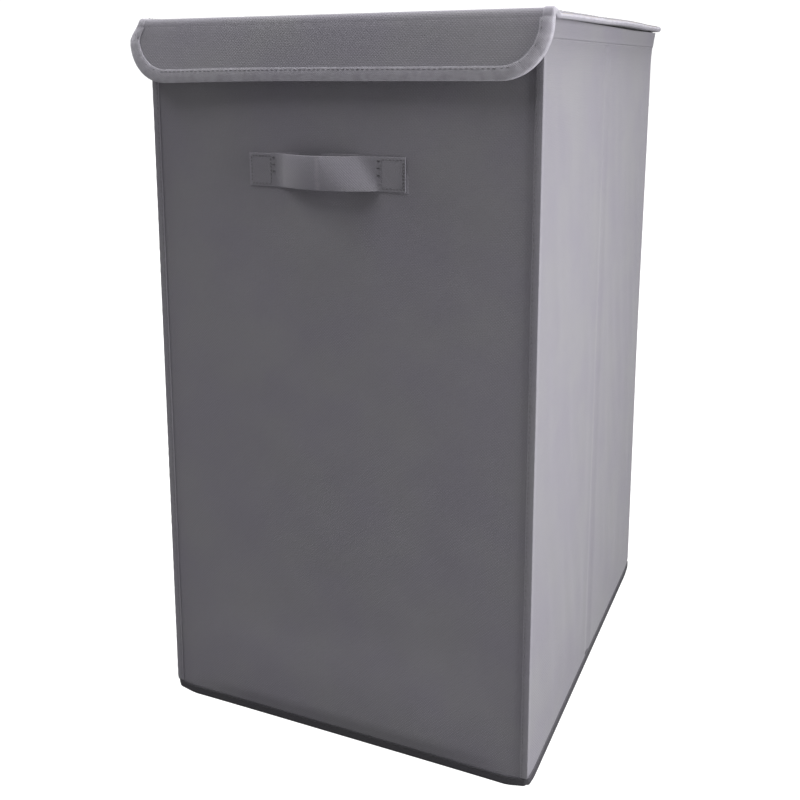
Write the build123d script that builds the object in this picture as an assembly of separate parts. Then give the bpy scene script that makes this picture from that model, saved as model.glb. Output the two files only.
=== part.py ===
"""Laundry hamper with a flap lid: card-stiffened non-woven walls, a sewn lid with a front flap,
a loose base board and a sewn strap handle on the front and on the back.

Millimetres. +Z is up, the front faces -Y, and the origin is on the floor under the middle of the body.
"""
import os
from math import atan, cos, sin

from build123d import *

# ---- Body ----
WIDTH = 332.0  # across the outsides of the side fabrics
DEPTH = 396.0  # across the outsides of the front and back fabrics
HEIGHT = 600.0  # floor to the top of the rim
OUTER_FABRIC = 0.8
WALL_CARD = 2.0
LINING = 0.5
CARD_END_GAP = 3.0  # card to the sewn top and bottom edges
CARD_SIDE_GAP = 2.0  # card to card round a corner
CREASE_GAP = 4.0  # between the two cards of a side wall, so that it can fold

# ---- Sewn tapes ----
TAPE = 0.8  # thickness of every binding tape
RIM_TAPE_HEIGHT = 16.0
BASE_TAPE_HEIGHT = 9.0
CORNER_SEAM_WIDTH = 6.0
CORNER_SEAM_THICKNESS = 0.8

# ---- Base ----
BASE_FABRIC = 0.8
BOARD_LIFT_OFF = 0.2  # board to base fabric
BOARD_CLEARANCE = 2.5  # board edge to the tapes inside the walls
BOARD_CARD = 2.4
BOARD_COVER = 0.6
PULL_TAB_WIDTH = 22.0
PULL_TAB_LENGTH = 60.0
PULL_TAB_THICKNESS = 1.0
PULL_TAB_INSET = 18.0  # front edge of the board to the tab

# ---- Lid and flap ----
LID_OVERHANG = 9.0  # beyond each side fabric
LID_CARD = 2.4
LID_CLEARANCE = 0.75  # rim to the underside of the lid's edge tape
EDGE_TAPE_WIDTH = 9.0
FLAP_STANDOFF = 4.0  # front fabric to the inside of the flap
FLAP_DROP = 48.0  # top of the lid to the bottom edge of the flap
FLAP_CORNER_RADIUS = 36.0
FLAP_STRAIGHT_SIDE = 1.0  # least straight edge above each round corner
FLAP_FOLD_RADIUS = 2.5  # inside of the fold between the lid and the flap
HINGE_BEND_ABOVE_RIM = 0.25
HINGE_TAPE_WIDTH = 15.5  # on the wall, and on the lid
LID_REAR_GAP = 1.0  # hinge tape's bend to the lid's card and fabrics

# ---- Hook and loop pads ----
PAD_WIDTH = 40.0
PAD_SPACING = 200.0  # centre to centre
PAD_MARGIN = 2.0  # pad to the rim tape above, and to the flap's edge tape below
PAD_GAP = 0.4  # loop pad to hook pad

# ---- Handles ----
HANDLE_DROP = 111.0  # rim to the middle of the strap
STRAP_WIDTH = 26.0
STRAP_THICKNESS = 1.6
PATCH_LENGTH = 138.0
PATCH_MARGIN = 1.0  # patch beyond the strap, above and below
PATCH_THICKNESS = 0.8
SEWN_END_LENGTH = 23.0
LOOP_RISE = 18.0  # sewn end to the middle of the loop
LOOP_HALF_SPAN = 44.0
LOOP_FOOT_RADIUS = 15.0
GRIP_HALF_SPAN = 24.0

# ---- Worked out from the above ----
WALL = OUTER_FABRIC + WALL_CARD + LINING
HALF_W = WIDTH / 2
HALF_D = DEPTH / 2
INSIDE_HALF_W = HALF_W - WALL - TAPE  # clear half width, inside the tapes
INSIDE_HALF_D = HALF_D - WALL - TAPE
WALL_BOTTOM = TAPE
WALL_TOP = HEIGHT - TAPE

LID_CORE = LINING + LID_CARD + OUTER_FABRIC
LID_HALF_W = HALF_W + LID_OVERHANG
LID_TAPE_BOTTOM = HEIGHT + LID_CLEARANCE
LID_BOTTOM = LID_TAPE_BOTTOM + TAPE
LID_TOP = LID_BOTTOM + LID_CORE
LID_MIDDLE = (LID_BOTTOM + LID_TOP) / 2
FLAP_INSIDE_Y = -(HALF_D + FLAP_STANDOFF)
FLAP_OUTSIDE_Y = FLAP_INSIDE_Y - LID_CORE
FLAP_MIDDLE_Y = (FLAP_INSIDE_Y + FLAP_OUTSIDE_Y) / 2
FLAP_FOLD_SETBACK = FLAP_FOLD_RADIUS + LID_CORE / 2  # fold line to the cards on both sides of it
LID_FRONT = FLAP_MIDDLE_Y + FLAP_FOLD_SETBACK
FLAP_TOP = LID_MIDDLE - FLAP_FOLD_SETBACK
FLAP_BOTTOM = LID_TOP + TAPE - FLAP_DROP
FLAP_CORNER = min(FLAP_CORNER_RADIUS, FLAP_TOP - FLAP_BOTTOM - FLAP_STRAIGHT_SIDE)

HINGE_Y = HALF_D + TAPE + TAPE / 2  # middle of the hinge tape on the rim
HINGE_Z = LID_TOP + TAPE / 2  # middle of the hinge tape on the lid
HINGE_BEND_BOTTOM = HEIGHT + HINGE_BEND_ABOVE_RIM
HINGE_BEND_RADIUS = HINGE_Z - HINGE_BEND_BOTTOM
HINGE_TAPE_REAR = HINGE_Y - HINGE_BEND_RADIUS
LID_REAR = HINGE_TAPE_REAR - LID_REAR_GAP

BOARD_BOTTOM = BASE_FABRIC + BOARD_LIFT_OFF
BOARD_TOP = BOARD_BOTTOM + BOARD_CARD + 2 * BOARD_COVER
BOARD_HALF_W = INSIDE_HALF_W - BOARD_CLEARANCE
BOARD_HALF_D = INSIDE_HALF_D - BOARD_CLEARANCE

PAD_TOP = HEIGHT - RIM_TAPE_HEIGHT - PAD_MARGIN
PAD_BOTTOM = FLAP_BOTTOM + EDGE_TAPE_WIDTH + PAD_MARGIN
PAD_THICKNESS = (FLAP_STANDOFF - PAD_GAP) / 2

HANDLE_HEIGHT = HEIGHT - HANDLE_DROP
PATCH_FACE_Y = -(HALF_D + PATCH_THICKNESS)
STRAP_MIDDLE_Y = PATCH_FACE_Y - STRAP_THICKNESS / 2
LOOP_TURN = 2 * atan(LOOP_RISE / LOOP_HALF_SPAN)  # turn of each foot of the loop
LOOP_RADIUS = LOOP_HALF_SPAN / sin(LOOP_TURN) - LOOP_FOOT_RADIUS


def slab(x, y, z):
    """A box between two values on each axis."""
    size = (x[1] - x[0], y[1] - y[0], z[1] - z[0])
    corner = Pos(x[0], y[0], z[0])
    return corner * Box(*size, align=(Align.MIN, Align.MIN, Align.MIN))


def centred_slab(half_x, half_y, z):
    """A box centred on the Z axis."""
    return slab((-half_x, half_x), (-half_y, half_y), z)


def both_sides(shape):
    """A shape and its mirror image across the middle of the hamper."""
    return Compound([shape, mirror(shape, about=Plane.YZ)])


def turned_to_back(shape):
    """A piece of the front, turned round to the back."""
    return shape.rotate(Axis.Z, 180)


def wall_panels():
    """Fabric, card and lining of the four walls. The front and back run the full width."""
    fabric_z = (WALL_BOTTOM, WALL_TOP)
    card_z = (WALL_BOTTOM + CARD_END_GAP, WALL_TOP - CARD_END_GAP)
    card_in = OUTER_FABRIC + WALL_CARD
    side_card_end = HALF_D - card_in - CARD_SIDE_GAP
    half_crease = CREASE_GAP / 2

    front_fabric = slab((-HALF_W, HALF_W), (-HALF_D, -HALF_D + OUTER_FABRIC), fabric_z)
    front_card = slab(
        (-HALF_W + OUTER_FABRIC, HALF_W - OUTER_FABRIC), (-HALF_D + OUTER_FABRIC, -HALF_D + card_in), card_z
    )
    front_lining = slab((-HALF_W + card_in, HALF_W - card_in), (-HALF_D + card_in, -HALF_D + WALL), fabric_z)

    side_end = HALF_D - OUTER_FABRIC
    right_fabric = slab((HALF_W - OUTER_FABRIC, HALF_W), (-side_end, side_end), fabric_z)
    card_x = (HALF_W - card_in, HALF_W - OUTER_FABRIC)
    right_front_card = slab(card_x, (-side_card_end, -half_crease), card_z)
    right_rear_card = slab(card_x, (half_crease, side_card_end), card_z)
    right_lining = slab((HALF_W - WALL, HALF_W - card_in), (-HALF_D + WALL, HALF_D - WALL), fabric_z)

    return {
        "front_outer_fabric": front_fabric,
        "front_card": front_card,
        "front_lining": front_lining,
        "back_outer_fabric": turned_to_back(front_fabric),
        "back_card": turned_to_back(front_card),
        "back_lining": turned_to_back(front_lining),
        "right_outer_fabric": right_fabric,
        "right_front_card": right_front_card,
        "right_rear_card": right_rear_card,
        "right_lining": right_lining,
        "left_outer_fabric": turned_to_back(right_fabric),
        "left_rear_card": turned_to_back(right_front_card),
        "left_front_card": turned_to_back(right_rear_card),
        "left_lining": turned_to_back(right_lining),
    }


def tape_channels(name, z, wall_z):
    """Binding tape folded over an edge of the walls, in four lengths with butted corners."""
    ring = centred_slab(HALF_W + TAPE, HALF_D + TAPE, z) - centred_slab(INSIDE_HALF_W, INSIDE_HALF_D, z)
    walls = centred_slab(HALF_W, HALF_D, wall_z) - centred_slab(HALF_W - WALL, HALF_D - WALL, wall_z)
    channel = ring - walls
    reach = HALF_D + 2 * TAPE
    front = channel & slab((-reach, reach), (-reach, -INSIDE_HALF_D), z)
    right = channel & slab((INSIDE_HALF_W, reach), (-INSIDE_HALF_D, INSIDE_HALF_D), z)
    return {
        f"{name}_front": front,
        f"{name}_back": turned_to_back(front),
        f"{name}_right": right,
        f"{name}_left": turned_to_back(right),
    }


def rim_and_base_tapes():
    """The tape round the rim and the darker tape round the base."""
    rim_z = (HEIGHT - RIM_TAPE_HEIGHT, HEIGHT)
    base_z = (0, BASE_TAPE_HEIGHT)
    return {
        **tape_channels("rim_tape", rim_z, (rim_z[0], WALL_TOP)),
        **tape_channels("base_tape", base_z, (WALL_BOTTOM, base_z[1])),
    }


def corner_seams():
    """The stitched-down seam along each upright corner, on the front and back faces."""
    seam = slab(
        (HALF_W - CORNER_SEAM_WIDTH, HALF_W),
        (-HALF_D - CORNER_SEAM_THICKNESS, -HALF_D),
        (BASE_TAPE_HEIGHT, HEIGHT - RIM_TAPE_HEIGHT),
    )
    mirrored = mirror(seam, about=Plane.YZ)
    return {
        "corner_seam_front_right": seam,
        "corner_seam_front_left": mirrored,
        "corner_seam_back_left": turned_to_back(seam),
        "corner_seam_back_right": turned_to_back(mirrored),
    }


def base():
    """The sewn-in base fabric, and the loose base board in its open-ended fabric cover."""
    card_z = (BOARD_BOTTOM + BOARD_COVER, BOARD_TOP - BOARD_COVER)
    card = slab(
        (-BOARD_HALF_W + BOARD_COVER, BOARD_HALF_W - BOARD_COVER),
        (-BOARD_HALF_D + BOARD_COVER, BOARD_HALF_D),
        card_z,
    )
    tab_front = -BOARD_HALF_D + PULL_TAB_INSET
    tab = slab(
        (-PULL_TAB_WIDTH / 2, PULL_TAB_WIDTH / 2),
        (tab_front, tab_front + PULL_TAB_LENGTH),
        (BOARD_TOP, BOARD_TOP + PULL_TAB_THICKNESS),
    )
    return {
        "base_fabric": centred_slab(INSIDE_HALF_W, INSIDE_HALF_D, (0, BASE_FABRIC)),
        "base_board_card": card,
        "base_board_cover": centred_slab(BOARD_HALF_W, BOARD_HALF_D, (BOARD_BOTTOM, BOARD_TOP)) - card,
        "base_board_pull_tab": tab,
    }


def lid():
    """The lid: lining, card and top fabric, with tape folded over its two side edges."""
    y = (LID_FRONT, LID_REAR)
    inner = LID_HALF_W - TAPE
    levels = [LID_BOTTOM, LID_BOTTOM + LINING, LID_BOTTOM + LINING + LID_CARD, LID_TOP]
    lining, card, top = (slab((-inner, inner), y, z) for z in zip(levels, levels[1:]))
    tape_z = (LID_TAPE_BOTTOM, LID_TOP + TAPE)
    tape = slab((LID_HALF_W - EDGE_TAPE_WIDTH, LID_HALF_W), y, tape_z)
    tape -= slab((0, inner), y, (LID_BOTTOM, LID_TOP))
    return {
        "lid_lining": lining,
        "lid_card": card,
        "lid_top_fabric": top,
        "lid_edge_tape_right": tape,
        "lid_edge_tape_left": mirror(tape, about=Plane.YZ),
    }


def lid_hinge():
    """The hinge tape: sewn to the rim, bent over the rear edge, and sewn to the lid."""
    half = min(HALF_W, LID_HALF_W - EDGE_TAPE_WIDTH)
    x = (-half, half)
    wall_z = (HINGE_BEND_BOTTOM - HINGE_TAPE_WIDTH, HINGE_BEND_BOTTOM)
    lid_y = (HINGE_TAPE_REAR - HINGE_TAPE_WIDTH, HINGE_TAPE_REAR)
    return {
        "hinge_tape_on_wall": slab(x, (HALF_D + TAPE, HALF_D + 2 * TAPE), wall_z),
        "hinge_tape_on_lid": slab(x, lid_y, (LID_TOP, LID_TOP + TAPE)),
        "hinge_tape_bend": quarter_bend(HINGE_TAPE_REAR, HINGE_BEND_BOTTOM, HINGE_BEND_RADIUS, TAPE, half),
    }


def quarter_bend(y, z, radius, thickness, half_width):
    """A quarter turn of fabric that rises over +Y, about a centre at y and z."""
    ring = Cylinder(radius + thickness / 2, 2 * half_width) - Cylinder(radius - thickness / 2, 2 * half_width)
    reach = radius + thickness
    quarter = Rot(0, 90, 0) * ring & slab((-half_width, half_width), (0, reach), (0, reach))
    return Pos(0, y, z) * quarter


def flap_plate(inset, y):
    """The flap's outline, with round lower corners, between two depths."""
    half = LID_HALF_W - inset
    bottom = FLAP_BOTTOM + inset
    height = FLAP_TOP - bottom
    outline = Pos(0, bottom + height / 2) * Rectangle(2 * half, height)
    outline = fillet(outline.vertices().sort_by(Axis.Y)[:2], FLAP_CORNER - inset)
    return Pos(0, y[1], 0) * extrude(Plane.XZ * outline, y[1] - y[0])


def flap():
    """The flap: lining, card and outer fabric, its edge tape, and the fold that joins it to the lid."""
    levels = [FLAP_OUTSIDE_Y, FLAP_OUTSIDE_Y + OUTER_FABRIC, FLAP_INSIDE_Y - LINING, FLAP_INSIDE_Y]
    fabric, card, lining = (flap_plate(TAPE, y) for y in zip(levels, levels[1:]))
    outer_y = (FLAP_OUTSIDE_Y - TAPE, FLAP_INSIDE_Y + TAPE)
    tape = flap_plate(0, outer_y) - flap_plate(TAPE, (FLAP_OUTSIDE_Y, FLAP_INSIDE_Y))
    tape -= flap_plate(EDGE_TAPE_WIDTH, outer_y)
    half = LID_HALF_W - TAPE
    bends = []
    for middle, thickness in ((OUTER_FABRIC / 2, OUTER_FABRIC), (LID_CORE - LINING / 2, LINING)):
        radius = FLAP_FOLD_SETBACK + LID_CORE / 2 - middle
        bend = quarter_bend(0, 0, radius, thickness, half)
        bends.append(Pos(0, LID_FRONT, FLAP_TOP) * mirror(bend, about=Plane.XZ))
    return {
        "flap_outer_fabric": fabric,
        "flap_card": card,
        "flap_lining": lining,
        "flap_edge_tape": tape,
        "flap_fold": Compound(bends),
    }


def fastener_pads():
    """Loop pads on the front wall and hook pads inside the flap."""
    x = (PAD_SPACING / 2 - PAD_WIDTH / 2, PAD_SPACING / 2 + PAD_WIDTH / 2)
    z = (PAD_BOTTOM, PAD_TOP)
    loop_pad = slab(x, (-HALF_D - PAD_THICKNESS, -HALF_D), z)
    hook_pad = slab(x, (FLAP_INSIDE_Y, FLAP_INSIDE_Y + PAD_THICKNESS), z)
    return {"loop_pads": both_sides(loop_pad), "hook_pads": both_sides(hook_pad)}


def strap():
    """The whole strap: two flat sewn ends and a round loop on two small feet."""
    foot_y = STRAP_MIDDLE_Y - LOOP_FOOT_RADIUS
    crown_y = STRAP_MIDDLE_Y - LOOP_RISE + LOOP_RADIUS
    end = (LOOP_HALF_SPAN + SEWN_END_LENGTH, STRAP_MIDDLE_Y)
    foot = (LOOP_HALF_SPAN, STRAP_MIDDLE_Y)
    middle = (LOOP_RADIUS * sin(LOOP_TURN), crown_y - LOOP_RADIUS * cos(LOOP_TURN))
    foot_middle = (
        LOOP_HALF_SPAN - LOOP_FOOT_RADIUS * sin(LOOP_TURN / 2),
        foot_y + LOOP_FOOT_RADIUS * cos(LOOP_TURN / 2),
    )
    half_line = Wire([
        Line(end, foot),
        ThreePointArc(foot, foot_middle, middle),
        ThreePointArc(
            middle,
            (LOOP_RADIUS * sin(LOOP_TURN / 2), crown_y - LOOP_RADIUS * cos(LOOP_TURN / 2)),
            (0, crown_y - LOOP_RADIUS),
        ),
    ])
    half = extrude(trace(half_line, line_width=STRAP_THICKNESS), STRAP_WIDTH, dir=(0, 0, 1))
    return Pos(0, 0, HANDLE_HEIGHT - STRAP_WIDTH / 2) * (half + mirror(half, about=Plane.YZ))


def handles():
    """Each handle: a patch, a strap's sewn ends, its two bends and the grip between them."""
    whole = strap()
    reach_y = (STRAP_MIDDLE_Y - 2 * LOOP_RISE, PATCH_FACE_Y + STRAP_THICKNESS)
    z = (HANDLE_HEIGHT - STRAP_WIDTH, HANDLE_HEIGHT + STRAP_WIDTH)

    def stretch(x0, x1):
        return whole & slab((x0, x1), reach_y, z)

    half_patch = STRAP_WIDTH / 2 + PATCH_MARGIN
    patch = slab(
        (-PATCH_LENGTH / 2, PATCH_LENGTH / 2),
        (PATCH_FACE_Y, -HALF_D),
        (HANDLE_HEIGHT - half_patch, HANDLE_HEIGHT + half_patch),
    )
    front = {
        "handle_patch": patch,
        "handle_sewn_ends": both_sides(stretch(LOOP_HALF_SPAN, PATCH_LENGTH)),
        "handle_bends": both_sides(stretch(GRIP_HALF_SPAN, LOOP_HALF_SPAN)),
        "handle_grip": stretch(-GRIP_HALF_SPAN, GRIP_HALF_SPAN),
    }
    made = {f"front_{name}": shape for name, shape in front.items()}
    made.update({f"back_{name}": turned_to_back(shape) for name, shape in front.items()})
    return made


def all_pieces():
    """Every piece of the hamper by name."""
    pieces = {}
    for group in (
        wall_panels, rim_and_base_tapes, corner_seams, base, lid, lid_hinge, flap, fastener_pads, handles
    ):
        pieces.update(group())
    return pieces


def main():
    os.makedirs("parts", exist_ok=True)
    for name, shape in all_pieces().items():
        export_step(shape, f"parts/{name}.step")


if __name__ == "__main__":
    main()
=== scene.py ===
from math import atan, atan2, cos, exp, hypot, pi, radians, sin

import bmesh
import bpy
from mathutils import Matrix, Vector, noise


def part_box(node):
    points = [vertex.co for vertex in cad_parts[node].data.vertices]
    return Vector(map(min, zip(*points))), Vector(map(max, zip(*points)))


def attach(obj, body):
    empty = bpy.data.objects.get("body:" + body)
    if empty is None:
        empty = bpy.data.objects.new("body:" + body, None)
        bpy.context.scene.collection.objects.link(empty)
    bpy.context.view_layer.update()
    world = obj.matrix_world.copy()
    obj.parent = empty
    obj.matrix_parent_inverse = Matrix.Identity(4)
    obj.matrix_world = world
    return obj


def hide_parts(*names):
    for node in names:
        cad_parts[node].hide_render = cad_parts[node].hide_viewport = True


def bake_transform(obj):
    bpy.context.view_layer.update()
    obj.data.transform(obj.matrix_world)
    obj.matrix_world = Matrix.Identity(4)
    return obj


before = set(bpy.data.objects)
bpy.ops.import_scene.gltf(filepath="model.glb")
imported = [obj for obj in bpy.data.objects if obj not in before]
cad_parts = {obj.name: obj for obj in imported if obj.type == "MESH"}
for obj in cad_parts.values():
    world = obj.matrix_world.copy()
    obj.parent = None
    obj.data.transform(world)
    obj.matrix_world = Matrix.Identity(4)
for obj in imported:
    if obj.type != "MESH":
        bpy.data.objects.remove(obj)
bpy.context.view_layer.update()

# ---- The body, from the frame ----
MM = 0.001
AXES = (Vector((1, 0, 0)), Vector((0, 1, 0)), Vector((0, 0, 1)))
SIDES = ("front", "back", "left", "right")
FRONT_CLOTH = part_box("front_outer_fabric")
HALF_W = FRONT_CLOTH[1].x
HALF_D = -FRONT_CLOTH[0].y
RIM_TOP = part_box("rim_tape_front")[1].z
RIM_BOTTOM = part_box("rim_tape_front")[0].z
FOOT_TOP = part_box("base_tape_front")[1].z
TAPE = -HALF_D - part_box("rim_tape_front")[0].y
LID_LOW, LID_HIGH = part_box("lid_top_fabric")
LID_MIDDLE = (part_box("lid_lining")[0].z + LID_HIGH.z) / 2
FLAP_LOW, FLAP_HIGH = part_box("flap_edge_tape")
FLAP_MIDDLE = (FLAP_LOW.y + FLAP_HIGH.y) / 2
FLAP_CORNER = 36 * MM
FLAP_TAPE = 10 * MM
SEAM_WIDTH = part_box("corner_seam_front_right")[1].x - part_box("corner_seam_front_right")[0].x

# ---- How the sewn body departs from a true box ----
FOOT_SPLAY = 2.9 * MM  # how far each wall stands out at the foot
RIM_SPLAY = 2.3 * MM  # and draws in at the rim
CORNER_LIFT = 3.5 * MM  # how far the foot rises at the base's corners
CORNER_LIFT_REACH = 20 * MM
CORNER_LIFT_HEIGHT = 40 * MM
BASE_CORNER = 5 * MM  # radius of the base's corners
BASE_CORNER_HEIGHT = 16 * MM
FOOT_CURL = 0.7 * MM  # how far the foot of the front and back rolls under
FOOT_CURL_HEIGHT = 15 * MM
CURL_REACH = 12 * MM
BELLY = 3.0 * MM  # how far the front and back swell just above the foot
FLARE = 3.0 * MM  # outwards at the rear corners of the rim
SPREAD = 2.2 * MM  # the slower part of it, lower down
SPREAD_HEIGHT = 360 * MM
FLARE_HEIGHT = 34 * MM
FLARE_LENGTH = 110 * MM
PANEL_CROWN = 1.5 * MM
CREASE_DEPTH = 1.5 * MM
CREASE_HALF_WIDTH = 4.5 * MM
CREASE_GAP = 5 * MM  # how far each card of a side stops short of the crease
PUCKER = 0.3 * MM
PUCKER_LENGTH = 11 * MM
PUCKER_REACH = 12 * MM
LID_WAVE = 1.3 * MM
CORNER_PULL = 7.5 * MM  # the left end of the fold, inwards
LID_SHIFT = 2.9 * MM  # of its front edge, to the left
EDGE_DROOP = 2.4 * MM  # of its right edge, just behind the fold
FLAP_SAG = 1.0 * MM
FLAP_TUCK = 2.0 * MM  # its top, inwards
FLAP_LEAN = 3.4 * MM  # its lower edge, outwards
FLAP_END_LEAN = 3.4 * MM  # more of it towards the left end

# ---- Stitches ----
STITCH_LENGTH = 2.9 * MM
STITCH_PITCH = 4.0 * MM
STITCH_RADIUS = 0.3 * MM


def smooth(t):
    """Rises from 0 to 1, flat at both ends."""
    t = min(max(t, 0.0), 1.0)
    return t * t * (3 - 2 * t)


def ripple(*place):
    """Smooth noise between -1 and 1."""
    return noise.noise(Vector(place))


# ---------------------------------------------------------------- materials


def put(tree, kind, feeds=None, **settings):
    """Adds a node. Each feed is a socket's value, or an output that it takes."""
    made = tree.nodes.new("ShaderNode" + kind)
    for name, value in settings.items():
        setattr(made, name, value)
    for key, value in (feeds or {}).items():
        if isinstance(value, bpy.types.NodeSocket):
            tree.links.new(value, made.inputs[key])
        else:
            made.inputs[key].default_value = value
    return made


def maths(tree, operation, *values):
    """The result of one sum."""
    return put(tree, "Math", dict(enumerate(values)), operation=operation).outputs[0]


def ranged(tree, value, low, high, to_low=0.0, to_high=1.0):
    """A value eased from one range to another."""
    feeds = {"Value": value, "From Min": low, "From Max": high, "To Min": to_low, "To Max": to_high}
    return put(tree, "MapRange", feeds, interpolation_type="SMOOTHSTEP").outputs["Result"]


def mixed(tree, factor, first, second, blend_type="MIX"):
    """Two colours mixed by a factor."""
    made = put(tree, "Mix", data_type="RGBA", blend_type=blend_type)
    for socket, value in zip((made.inputs[0], made.inputs[6], made.inputs[7]), (factor, first, second)):
        if isinstance(value, bpy.types.NodeSocket):
            tree.links.new(value, socket)
        else:
            socket.default_value = value
    return made.outputs[2]


def new_group(name, inputs, outputs):
    """An empty shader node group with named sockets, and its two end nodes."""
    tree = bpy.data.node_groups.new(name, "ShaderNodeTree")
    for title, kind, value in inputs:
        tree.interface.new_socket(title, in_out="INPUT", socket_type=kind).default_value = value
    for title, kind in outputs:
        tree.interface.new_socket(title, in_out="OUTPUT", socket_type=kind)
    return tree, tree.nodes.new("NodeGroupInput").outputs, tree.nodes.new("NodeGroupOutput").inputs


def bonded_cloth():
    """Spun-bonded cloth: fibres pressed together at a staggered field of small points."""
    tree, given, result = new_group(
        "Bonded cloth",
        (
            ("Colour", "NodeSocketColor", (0.2, 0.2, 0.2, 1)),
            ("Tint", "NodeSocketColor", (0.2, 0.2, 0.22, 1)),
            ("Pitch", "NodeSocketFloat", 2.4 * MM),
            ("Bond depth", "NodeSocketFloat", 1.0),
            ("Blotch", "NodeSocketFloat", 0.5),
        ),
        (("Colour", "NodeSocketColor"), ("Roughness", "NodeSocketFloat"), ("Height", "NodeSocketFloat")),
    )
    place = put(tree, "TexCoord").outputs["UV"]
    parts = put(tree, "SeparateXYZ", {0: place}).outputs
    turn = maths(tree, "DIVIDE", 2 * pi, given["Pitch"])
    waves = [maths(tree, "COSINE", maths(tree, "MULTIPLY", parts[i], turn)) for i in (0, 1)]
    bond = ranged(tree, maths(tree, "MULTIPLY", *waves), 0.25, 0.75)
    fibre = put(tree, "TexNoise", {"Vector": place, "Scale": 1400.0, "Detail": 3.0}).outputs[0]
    strand_map = put(tree, "Mapping", {"Vector": place, "Rotation": (0, 0, 0.6), "Scale": (1, 0.16, 1)})
    strand = put(tree, "TexNoise", {"Vector": strand_map.outputs[0], "Scale": 2300.0, "Detail": 2.0})
    strand = strand.outputs[0]
    cloud = put(tree, "TexNoise", {"Vector": place, "Scale": 13.0, "Detail": 3.0, "Roughness": 0.55})
    cloud = cloud.outputs[0]
    cloud = ranged(tree, cloud, 0.32, 0.68)
    share = maths(tree, "MULTIPLY", cloud, given["Blotch"])
    tinted = mixed(tree, share, given["Colour"], given["Tint"])
    shade = ranged(tree, fibre, 0.3, 0.7, 0.95, 1.05)
    shade = maths(tree, "ADD", shade, ranged(tree, strand, 0.3, 0.7, -0.03, 0.03))
    shade = maths(tree, "SUBTRACT", shade, maths(tree, "MULTIPLY", bond, 0.07))
    grey = put(tree, "CombineColor", {0: shade, 1: shade, 2: shade}).outputs[0]
    tree.links.new(mixed(tree, 1.0, tinted, grey, "MULTIPLY"), result["Colour"])
    dull = ranged(tree, fibre, 0.3, 0.7, 0.76, 0.88)
    dull = maths(tree, "SUBTRACT", dull, maths(tree, "MULTIPLY", bond, 0.16))
    tree.links.new(dull, result["Roughness"])
    depth = maths(tree, "MULTIPLY", bond, given["Bond depth"])
    nap = maths(tree, "ADD", maths(tree, "MULTIPLY", fibre, 0.35), maths(tree, "MULTIPLY", strand, 0.3))
    tree.links.new(maths(tree, "SUBTRACT", nap, depth), result["Height"])
    return tree


def edge_wear_and_highlight():
    """Lighter fibres where cloth rubs along folds and edges, broken up by noise; on the flap's tape the same
    mask also paints a highlight that grows towards the tape's outer edge.
    """
    tree, given, result = new_group(
        "Edge wear and highlight",
        (
            ("Colour", "NodeSocketColor", (0.2, 0.2, 0.2, 1)),
            ("Worn and highlight colour", "NodeSocketColor", (0.4, 0.4, 0.42, 1)),
            ("Amount", "NodeSocketFloat", 0.5),
        ),
        (("Colour", "NodeSocketColor"),),
    )
    wear_and_highlight_mask = put(tree, "Attribute", attribute_name="wear_and_highlight").outputs["Fac"]
    place = put(tree, "TexCoord").outputs["UV"]
    broken = put(tree, "TexNoise", {"Vector": place, "Scale": 160.0, "Detail": 4.0}).outputs[0]
    share = maths(tree, "MULTIPLY", wear_and_highlight_mask, ranged(tree, broken, 0.3, 0.65, 0.35, 1.0))
    share = maths(tree, "MULTIPLY", share, given["Amount"])
    tree.links.new(mixed(tree, share, given["Colour"], given["Worn and highlight colour"]), result["Colour"])
    return tree


def twill():
    """Fine diagonal ribs, for tape and strap."""
    tree, given, result = new_group(
        "Ribs",
        (("Pitch", "NodeSocketFloat", 1.2 * MM), ("Slant", "NodeSocketFloat", 1.0)),
        (("Height", "NodeSocketFloat"),),
    )
    parts = put(tree, "SeparateXYZ", {0: put(tree, "TexCoord").outputs["UV"]}).outputs
    slanted = maths(tree, "ADD", parts[0], maths(tree, "MULTIPLY", parts[1], given["Slant"]))
    turn = maths(tree, "DIVIDE", 2 * pi, given["Pitch"])
    wave = maths(tree, "SINE", maths(tree, "MULTIPLY", slanted, turn))
    tree.links.new(ranged(tree, wave, -1.0, 1.0), result["Height"])
    return tree


GROUPS = {"cloth": bonded_cloth(), "wear_and_highlight_mix": edge_wear_and_highlight(), "ribs": twill()}


def group(tree, name, feeds):
    """Places a shared group in a material."""
    made = tree.nodes.new("ShaderNodeGroup")
    made.node_tree = GROUPS[name]
    for key, value in feeds.items():
        if isinstance(value, bpy.types.NodeSocket):
            tree.links.new(value, made.inputs[key])
        else:
            made.inputs[key].default_value = value
    return made.outputs


def bare_material(name, sheen, specular):
    """A material with a Principled shader, and its tree and shader."""
    made = bpy.data.materials.new(name)
    made.use_nodes = True
    shader = made.node_tree.nodes["Principled BSDF"]
    shader.inputs["Sheen Weight"].default_value = sheen
    shader.inputs["Sheen Roughness"].default_value = 0.45
    shader.inputs["Specular IOR Level"].default_value = specular
    return made, made.node_tree, shader


def bumped(tree, shader, height, distance):
    """Feeds a height to the shader's normal."""
    bump = put(tree, "Bump", {"Height": height, "Distance": distance, "Strength": 1.0})
    tree.links.new(bump.outputs[0], shader.inputs["Normal"])


def grey(value, violet=1.0):
    """A near-grey colour that leans to violet."""
    return (value, value * (1 - 0.035 * violet), value * (1 + 0.08 * violet), 1)


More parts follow.
